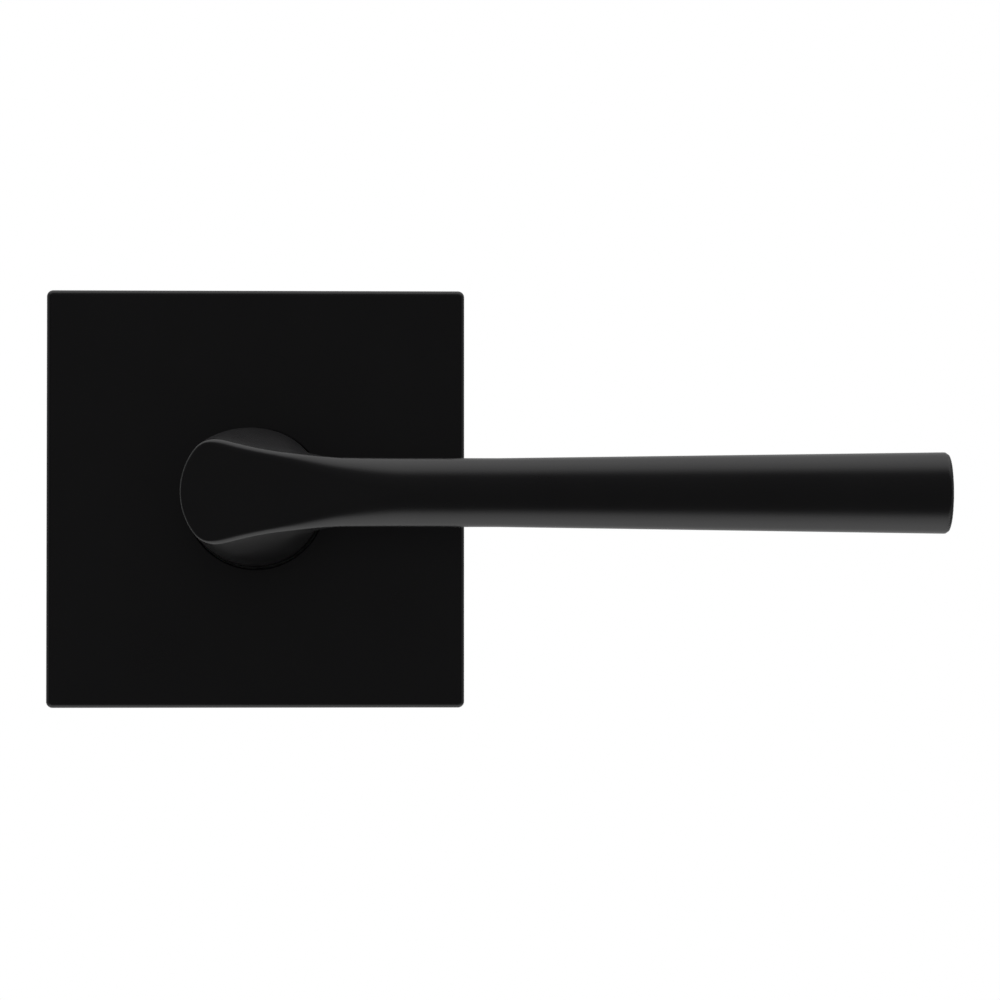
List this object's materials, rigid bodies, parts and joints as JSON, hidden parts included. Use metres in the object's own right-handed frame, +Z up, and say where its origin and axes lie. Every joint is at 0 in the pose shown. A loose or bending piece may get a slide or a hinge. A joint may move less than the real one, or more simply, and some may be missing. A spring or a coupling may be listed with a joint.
{
  "type": "door lever handle",
  "caption": "Interior door lever on a square rose: round neck, flat fishtail face, round swelling arm, sprung mechanism behind the rose.",
  "frame": {"origin": "the spindle's axis where it crosses the face of the door", "axes": "+X from the spindle towards the tip of the lever, +Y into the door, +Z up"},
  "size_m": [0.1383, 0.1066, 0.0666],
  "materials": {
    "satin_black_coating": "satin",
    "die_cast_zinc": "satin",
    "zinc_plated_steel": "satin",
    "spring_steel": "satin",
    "sintered_bronze": "matte",
    "black_oxide_steel": "satin",
    "natural_nylon": "satin"
  },
  "bodies": {
    "door_side": {"rose_cover": "satin_black_coating", "mounting_plate": "die_cast_zinc", "neck_bush": "natural_nylon", "bearing_bush": "sintered_bronze", "spring_cup": "zinc_plated_steel", "return_spring": "spring_steel", "stop_pin": "zinc_plated_steel", "cup_screw_1": "zinc_plated_steel", "cup_screw_2": "zinc_plated_steel", "cup_screw_3": "zinc_plated_steel", "through_screw_left": "zinc_plated_steel", "through_screw_right": "zinc_plated_steel", "lock_washer_left": "spring_steel", "lock_washer_right": "spring_steel", "rose_clip_top": "spring_steel", "rose_clip_bottom": "spring_steel", "clip_rivet_top": "zinc_plated_steel", "clip_rivet_bottom": "zinc_plated_steel"},
    "lever_side": {"lever": "satin_black_coating", "set_screw": "black_oxide_steel", "thrust_washer": "natural_nylon", "drive_tube": "zinc_plated_steel", "spindle": "zinc_plated_steel", "spring_driver": "zinc_plated_steel", "wave_washer": "spring_steel", "retaining_ring": "spring_steel"}
  },
  "joints": [
    {"name": "lever_turn", "type": "hinge", "parent": "door_side", "child": "lever_side", "pos_m": [0, 0, 0], "axis": [0, 1, 0], "range_deg": [-45, 45], "stiffness_Nm_per_rad": 1.8, "springref_deg": -1.43, "deforming": ["return_spring"]}
  ]
}
